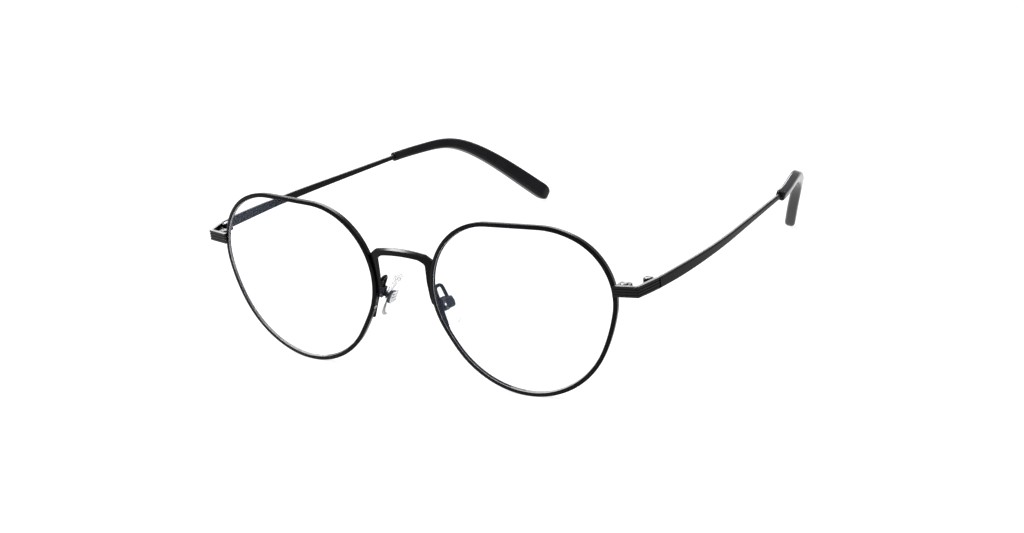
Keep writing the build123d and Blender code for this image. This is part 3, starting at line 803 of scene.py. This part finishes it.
TIP_ROLL = math.radians(20)      # the outer side of the sleeve leans down
TIP_END_DIRECTION = (-0.43, 0.61, -0.67)
TIP_MOUTH = ((0.34, 0.0), (0.20, 0.02), (0.06, 0.28))      # (shrink, mm from the sleeve's start)
TIP_BODY_START, TIP_BODY_STEPS = 0.5, 56
TIP_CAP_AT, TIP_CAP_SHARE, TIP_CAP_SHRINK, TIP_CAP_STEPS = 0.945, 0.052, 1.35, 8
TIP_CORNER = 0.27                # corner radius as a share of the thickness
bow_out = direction(90 - START_ANGLE + BOW_TURN)
tip_path = spline_path(TIP_POINTS, (bow_out.x, bow_out.y, DROOP), TIP_END_DIRECTION)


def tip_ring(share, shrink):
    """The sleeve's section at a share of its length, made smaller all round by shrink."""
    point, along = at_share(tip_path, min(max(share, 0), 1))
    side = along.cross(Vector((0, 0, 1))).normalized()
    up = side.cross(along)
    c, s = math.cos(TIP_ROLL), math.sin(TIP_ROLL)
    side, up = side * c - up * s, up * c + side * s
    height = smooth_value([(at, size[0]) for at, size in TIP_SECTIONS], share)
    thick = smooth_value([(at, size[1]) for at, size in TIP_SECTIONS], share)
    a, b = thick / 2 - shrink, height / 2 - shrink
    section = rounded_section(a, b, TIP_CORNER * thick, 7)
    return [row(*(point + side * x + up * y)) for x, y in section]


def tip_mesh():
    length = sum((b - a).length for a, b in zip(tip_path, tip_path[1:]))
    rings = [tip_ring(place / length, shrink) for shrink, place in TIP_MOUTH]
    first = TIP_BODY_START / length
    for k in range(TIP_BODY_STEPS):
        rings.append(tip_ring(first + (TIP_CAP_AT - first) * k / TIP_BODY_STEPS, 0.0))
    for k in range(TIP_CAP_STEPS + 1):
        turn = math.radians(90 * k / TIP_CAP_STEPS)
        rings.append(tip_ring(
            TIP_CAP_AT + TIP_CAP_SHARE * math.sin(turn), TIP_CAP_SHRINK * (1 - math.cos(turn))
        ))
    return skin("left_tip_sleeve", rings, sharp_deg=60)


place_pair(
    weighted(tip_mesh()), "tip_sleeve", "SIDE_temple_arm", black_acetate, "black_acetate",
    "temple_tip",
)

# ------------------------------------------------------------------ bridge
# Half of the bridge from its foot to the bar's end: (outer, inner) points in front view.
BRIDGE_LEG = [
    ((8.72, -2.70), (8.30, -2.42)), ((8.84, -2.40), (8.08, -2.05)), ((9.10, -0.60), (7.78, -0.60)),
    ((9.60, 4.60), (7.45, 3.20)), ((9.86, 7.90), (7.48, 7.30)), ((9.80, 8.55), (7.40, 7.80)),
    ((9.48, 9.00), (7.12, 8.14)), ((8.60, 9.70), (6.45, 8.56)), ((7.95, 10.20), (5.85, 8.89)),
    ((7.66, 10.38), (5.50, 9.02)),
]
BAR_ENDS = (7.66, 10.38), (5.50, 9.02)
BAR_TOP_Z, BAR_LOW_Z = 11.38, 9.50
BAR_STEPS = 14                    # stations from each end of the bar to its middle
BRIDGE_FRONT_Y, BRIDGE_DEPTH, BRIDGE_BEVEL = 1.20, 1.00, 0.46
BRIDGE_FRONT_SOFT, BRIDGE_SOFT = 0.08, 0.1
# The bevel grows from a share of its size over some stations, which start at one on the leg.
BEVEL_LEAST, BEVEL_START, BEVEL_GROWTH = 0.3, 4, 5
BEVEL_FACE = 2                    # which face of the section the top bevel is
SWEEP = 0.70 / 7.80**2            # the front face bows back by this times x squared


def bridge_mesh():
    """Leg, bar and leg in one piece; its bevel is in the second material slot."""
    stations = list(BRIDGE_LEG)
    (top_x, top_z), (low_x, low_z) = BAR_ENDS
    for k in range(1, BAR_STEPS):
        share = 1 - k / BAR_STEPS
        outer_z = BAR_TOP_Z + (top_z - BAR_TOP_Z) * share**2
        inner_z = BAR_LOW_Z + (low_z - BAR_LOW_Z) * share**2
        stations.append(((top_x * share, outer_z), (low_x * share, inner_z)))
    stations.append(((0, BAR_TOP_Z), (0, BAR_LOW_Z)))
    stations += [((-o[0], o[1]), (-i[0], i[1])) for o, i in stations[-2::-1]]
    rings = []
    for number, (outer, inner) in enumerate(stations):
        def spot(share, depth):
            x = inner[0] + (outer[0] - inner[0]) * share
            z = inner[1] + (outer[1] - inner[1]) * share
            return row(x, BRIDGE_FRONT_Y + SWEEP * x * x + depth, z)
        wide = math.hypot(outer[0] - inner[0], outer[1] - inner[1])
        from_foot = min(number, len(stations) - 1 - number)
        growth = (from_foot - BEVEL_START) / BEVEL_GROWTH
        size = BRIDGE_BEVEL * min(1, max(BEVEL_LEAST, growth))
        cut = size / wide
        rings.append([
            spot(0, BRIDGE_FRONT_SOFT), spot(BRIDGE_FRONT_SOFT / wide, 0),
            spot(1 - cut, 0), spot(1, size),
            spot(1, BRIDGE_DEPTH - BRIDGE_SOFT), spot(1 - BRIDGE_SOFT / wide, BRIDGE_DEPTH),
            spot(BRIDGE_SOFT / wide, BRIDGE_DEPTH), spot(0, BRIDGE_DEPTH - BRIDGE_SOFT),
        ])
    bm = bmesh.new()
    add_skin(bm, rings)
    bm.faces.ensure_lookup_table()
    for station in range(len(rings) - 1):
        bm.faces[station * len(rings[0]) + BEVEL_FACE].material_index = 1
    return finish_mesh(bm, "bridge_bar", 30)


bridge = weighted(bridge_mesh())
dress(bridge, black_metal)
bridge.data.materials.append(cut_metal)
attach(bridge, "front")
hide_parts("bridge")

# ------------------------------------------------------------------ pad arms
ARM_POINTS = [
    (11.95, 3.45, -8.70), (10.55, 3.75, -4.40), (8.50, 4.30, 1.50), (8.75, 6.70, 1.50),
    (10.40, 6.60, -1.95),
]
ARM_R, ARM_BEND = 0.46, 1.0
DOME = [(0.98, 0.2), (0.8, 0.6), (0.5, 0.866), (0.2, 0.98)]      # (height, width) as shares of r


def rounded_path(points, radius, steps=8):
    """The points joined by straight runs, with an arc at each inner corner."""
    pts = [Vector(p) for p in points]
    path = [pts[0]]
    for a, b, c in zip(pts, pts[1:], pts[2:]):
        u, v = (a - b).normalized(), (c - b).normalized()
        half = math.acos(max(-1, min(1, u.dot(v)))) / 2
        run = radius / math.tan(half)
        hub = b + (u + v).normalized() * (radius / math.sin(half))
        start, end = b + u * run - hub, b + v * run - hub
        sweep = math.pi - 2 * half
        for k in range(steps + 1):
            t = k / steps
            path.append(hub + (
                start * math.sin((1 - t) * sweep) + end * math.sin(t * sweep)
            ) / math.sin(sweep))
    path.append(pts[-1])
    return path


def tube(name, path, radius, sides=20):
    """A wire along a path, with a domed start."""
    rings = []
    normal = (path[1] - path[0]).orthogonal().normalized()
    for i, point in enumerate(path):
        before, after = path[max(i - 1, 0)], path[min(i + 1, len(path) - 1)]
        along = (after - before).normalized()
        normal = (normal - along * normal.dot(along)).normalized()
        side = along.cross(normal)

        def ring(centre, r):
            return [
                row(*(centre + (normal * math.cos(2 * math.pi * k / sides)
                                + side * math.sin(2 * math.pi * k / sides)) * r))
                for k in range(sides)
            ]
        if i == 0:
            rings += [ring(point - along * radius * h, radius * w) for h, w in DOME]
        rings.append(ring(point, radius))
    return skin(name, rings, sharp_deg=55)


arm = tube("left_arm_wire", rounded_path(ARM_POINTS, ARM_BEND), ARM_R)
place_pair(arm, "arm_wire", "front", black_metal, "black_metal", "pad_arm")

# ------------------------------------------------------------------ nose pads
PAD_PLACE = Vector((8.41, 7.04, -4.32))
LONG_AXIS = Vector((0.43, -0.08, -0.90)).normalized()
SPLAY = math.radians(12.0)
PAD_NORMAL = LONG_AXIS.cross(Vector((math.sin(SPLAY), math.cos(SPLAY), 0))).normalized()
PAD_ACROSS = LONG_AXIS.cross(PAD_NORMAL)
# The pad's outline wraps two rounds, each (across, along, radius).
LOW_ROUND, HIGH_ROUND = (-0.60, 2.30, 3.60), (-0.60, -4.00, 2.50)
PAD_THICKNESS, PAD_EDGE, PAD_DOME = 2.5, 1.15, 0.22
PAD_MIDDLE_SHIFT = 0.3            # the domes' top lies this far below the middle


def pad_outline(count=72):
    """(point, outward normal) of the hull of the pad's two rounds."""
    x0, y0, r0 = LOW_ROUND
    _, y1, r1 = HIGH_ROUND
    tilt = math.asin((r0 - r1) / (y0 - y1))
    points = []
    for k in range(count):
        turn = 2 * math.pi * k / count
        n = Vector((math.cos(turn), math.sin(turn)))
        low = n.y > -math.sin(tilt)
        centre, radius = ((x0, y0), r0) if low else ((x0, y1), r1)
        points.append((Vector(centre) + n * radius, n))
    return points


def pad_point(x, y, level):
    """A point by its place across and along the pad and its level towards the pad's box."""
    return row(*(PAD_PLACE + PAD_ACROSS * x + LONG_AXIS * y + PAD_NORMAL * level))


def pad_mesh():
    outline = pad_outline()
    middle = Vector((LOW_ROUND[0], (LOW_ROUND[1] + HIGH_ROUND[1]) / 2 + PAD_MIDDLE_SHIFT))
    half = PAD_THICKNESS / 2

    def flat_ring(share, sign):
        level = sign * (half - PAD_DOME * share**2)
        spots = [middle.lerp(p - n * PAD_EDGE, share) for p, n in outline]
        return [pad_point(q.x, q.y, level) for q in spots]

    def edge_ring(degrees, sign):
        turn = math.radians(degrees)
        inset, level = PAD_EDGE * (1 - math.cos(turn)), sign * (half - PAD_DOME) * math.sin(turn)
        spots = [p - n * inset for p, n in outline]
        return [pad_point(q.x, q.y, level) for q in spots]

    flat_shares, edge_turns = (0.08, 0.3, 0.55, 0.8), (15, 30, 45, 60, 75, 90)
    rings = [flat_ring(share, -1) for share in flat_shares]
    rings += [edge_ring(turn, -1) for turn in reversed(edge_turns)]
    rings += [edge_ring(turn, 1) for turn in (0,) + edge_turns]
    rings += [flat_ring(share, 1) for share in reversed(flat_shares)]
    return skin("left_pad_cushion", rings, sharp_deg=80)


place_pair(
    pad_mesh(), "pad_cushion", "SIDE_pad_body", clear_silicone, "clear_silicone", "nose_pad"
)

INSERT_WIDTH, INSERT_LENGTH, INSERT_CORNER = 3.3, 3.6, 1.1
INSERT_LOW, INSERT_TOP, INSERT_RISE = -0.25, 0.35, 0.25
TONGUE_HALF, TONGUE_R, TONGUE_AXIS, TONGUE_FOOT = 0.60, 0.65, 2.60, 0.20
TONGUE_HOLE, TONGUE_SLIT = 0.43, 8      # the hole's radius in mm, half its slit in degrees
RIB_PLACES, RIB_HALF_LENGTH, RIB_HALF_WIDTH = (-0.95, 0.0, 0.95), 1.0, 0.13


def tongue_arc(radius, turns):
    """(along the pad, level) points round the pad screw's axis, at turns in degrees."""
    return [
        (
            radius * math.cos(math.radians(turn)),
            TONGUE_AXIS + radius * math.sin(math.radians(turn)),
        )
        for turn in turns
    ]


def tongue_section():
    """The tongue's outline, with the screw's hole and the slit that opens it downwards."""
    slit = TONGUE_HOLE * math.sin(math.radians(TONGUE_SLIT))
    round_hole = [270 - TONGUE_SLIT] + list(range(255, -76, -15)) + [TONGUE_SLIT - 90]
    points = [(TONGUE_R, TONGUE_FOOT), (TONGUE_R, TONGUE_AXIS)]
    points += tongue_arc(TONGUE_R, range(15, 180, 15))
    points += [(-TONGUE_R, TONGUE_AXIS), (-TONGUE_R, TONGUE_FOOT), (-slit, TONGUE_FOOT)]
    points += tongue_arc(TONGUE_HOLE, round_hole)
    return points + [(slit, TONGUE_FOOT)]


def insert_mesh():
    """The plate moulded into the pad: bright and ribbed towards the nose, dark towards its box."""
    bm = bmesh.new()
    rings = []
    for inset, level in (
        (0.10, INSERT_LOW), (0.03, INSERT_LOW + 0.03), (0, INSERT_LOW + 0.10),
        (0, INSERT_TOP - 0.10), (0.03, INSERT_TOP - 0.03), (0.10, INSERT_TOP),
    ):
        section = rounded_section(
            INSERT_WIDTH / 2 - inset, INSERT_LENGTH / 2 - inset, INSERT_CORNER - inset, 6
        )
        rings.append([pad_point(x, y - INSERT_RISE, level) for x, y in section])
    add_skin(bm, rings, first_index=1)

    tongue = tongue_section()
    add_skin(bm, [
        [pad_point(x, y * share, level) for y, level in tongue]
        for x, share in (
            (-TONGUE_HALF, 0.9), (-TONGUE_HALF + 0.08, 1),
            (TONGUE_HALF - 0.08, 1), (TONGUE_HALF, 0.9),
        )
    ])

    for place in RIB_PLACES:
        rings = []
        for half, share, level in (
            (RIB_HALF_LENGTH - 0.05, 0.7, INSERT_LOW - 0.07),
            (RIB_HALF_LENGTH, 1.0, INSERT_LOW - 0.04),
            (RIB_HALF_LENGTH, 1.0, INSERT_LOW + 0.05),
        ):
            section = rounded_section(half, RIB_HALF_WIDTH * share, 0.1, 3)
            rings.append([pad_point(x, place - INSERT_RISE + y, level) for x, y in section])
        add_skin(bm, rings)
    return finish_mesh(bm, "left_insert_plate", 40)


for plate in place_pair(
    insert_mesh(), "insert_plate", "SIDE_pad_body", box_navy, "pad_insert_plate", "pad_insert"
):
    plate.data.materials.append(bright_steel)

BOX_HALF, BOX_INSIDE, BOX_LENGTH, BOX_RISE = 1.20, 0.75, 2.9, 0.15
BOX_BOTTOM, BOX_TOP, BOX_ROOF = 2.05, 3.75, 0.38
BOX_SHOULDER, BOX_CORNER = 0.62, 0.2
BOX_END_POWER, BOX_SIDE_SHRINK, BOX_TOP_SHRINK = 3.4, 0.42, 0.36
BOX_STEPS, BOX_SHOULDER_STEPS = 14, 6


def box_mesh():
    """The small open box that holds the pad's tongue, with rounded ends and shoulders."""
    rings = []
    roof = BOX_TOP - BOX_ROOF
    for k in range(BOX_STEPS + 1):
        along = math.sin((2 * k / BOX_STEPS - 1) * math.pi / 2)
        shrink = 1 - math.sqrt(max(0, 1 - abs(along) ** BOX_END_POWER))
        half, top = BOX_HALF - BOX_SIDE_SHRINK * shrink, BOX_TOP - BOX_TOP_SHRINK * shrink
        ring = [(half, BOX_BOTTOM)]
        for step in range(BOX_SHOULDER_STEPS + 1):
            turn = math.radians(90 * step / BOX_SHOULDER_STEPS)
            ring.append((
                half - BOX_SHOULDER * (1 - math.cos(turn)),
                top - BOX_SHOULDER * (1 - math.sin(turn)),
            ))
        ring += [(-x, level) for x, level in ring[::-1]]
        ring += [
            (-BOX_INSIDE, BOX_BOTTOM), (-BOX_INSIDE, roof - BOX_CORNER),
            (-BOX_INSIDE + BOX_CORNER, roof), (BOX_INSIDE - BOX_CORNER, roof),
            (BOX_INSIDE, roof - BOX_CORNER), (BOX_INSIDE, BOX_BOTTOM),
        ]
        y = along * BOX_LENGTH / 2 - BOX_RISE
        rings.append([pad_point(x, y, level) for x, level in ring])
    return skin("left_pad_cap", rings, sharp_deg=40)


place_pair(box_mesh(), "pad_cap", "front", box_navy, "black_metal", "pad_box")

# ------------------------------------------------------------------ CAD nodes that stay
for side in ("left", "right"):
    for base, mat in (
        ("closing_block_upper", black_metal), ("closing_block_lower", black_metal),
        ("front_hinge", black_metal), ("temple_hinge", black_metal),
        ("rim_screw", dark_steel), ("hinge_screw", dark_steel), ("pad_screw", bright_steel),
    ):
        dress(nodes[f"{side}_{base}"], mat)


# ------------------------------------------------------------------ floor and light
FLOOR_HALF, FLOOR_GLOW = 6.0, 0.80      # metres, and emission so that shadows stay faint


def make_floor():
    mesh = bpy.data.meshes.new("floor")
    corners = [(-1, -1), (1, -1), (1, 1), (-1, 1)]
    mesh.from_pydata([(x * FLOOR_HALF, y * FLOOR_HALF, 0) for x, y in corners], [], [(0, 1, 2, 3)])
    floor = new_object("floor", mesh)
    mat, tree, bsdf, coords, _ = material("floor_white")
    cloud = noise(tree, coords, 3, detail=2)
    tint = ramp(tree, cloud.outputs["Fac"], [(NOISE_LOW, (0.195,) * 3), (NOISE_HIGH, (0.205,) * 3)])
    tree.links.new(tint.outputs["Color"], bsdf.inputs["Base Color"])
    bsdf.inputs["Roughness"].default_value = 0.9
    bsdf.inputs["Specular IOR Level"].default_value = 0.1
    bsdf.inputs["Emission Color"].default_value = (1, 1, 1, 1)
    bsdf.inputs["Emission Strength"].default_value = FLOOR_GLOW
    dress(floor, mat)


# Name, place and aim in the row frame (m), size (m), power (W).
LIGHTS = [
    ("softbox_top", (0.0, 0.05, 0.80), (0, 0, 0), (0.6, 0.5), 3.2),
    ("softbox_front", (-0.56, -0.34, 0.68), (0, 0, 0.03), (0.36, 0.30), 17.0),
    ("softbox_side", (0.34, 0.70, 0.56), (0.07, 0, 0.03), (0.30, 0.30), 1.5),
    ("softbox_back", (-0.55, 0.75, 0.40), (0, 0, 0.02), (0.7, 0.4), 6.0),
]
WORLD_COLOUR, WORLD_STRENGTH = (0.96, 0.97, 1.0, 1), 0.6


def area(name, place, aim, size, energy):
    data = bpy.data.lights.new(name, "AREA")
    data.shape = "RECTANGLE"
    data.size, data.size_y = size
    data.energy = energy
    light = bpy.data.objects.new(name, data)
    bpy.context.scene.collection.objects.link(light)
    light.location = place
    light.rotation_mode = "QUATERNION"
    light.rotation_quaternion = (Vector(aim) - Vector(place)).to_track_quat("-Z", "Y")


make_floor()
for light in LIGHTS:
    area(*light)
world = bpy.data.worlds.new("world")
bpy.context.scene.world = world
world.use_nodes = True
background = world.node_tree.nodes["Background"]
background.inputs["Color"].default_value = WORLD_COLOUR
background.inputs["Strength"].default_value = WORLD_STRENGTH
bpy.context.scene.view_settings.view_transform = "Standard"
bpy.context.scene.view_settings.look = "None"
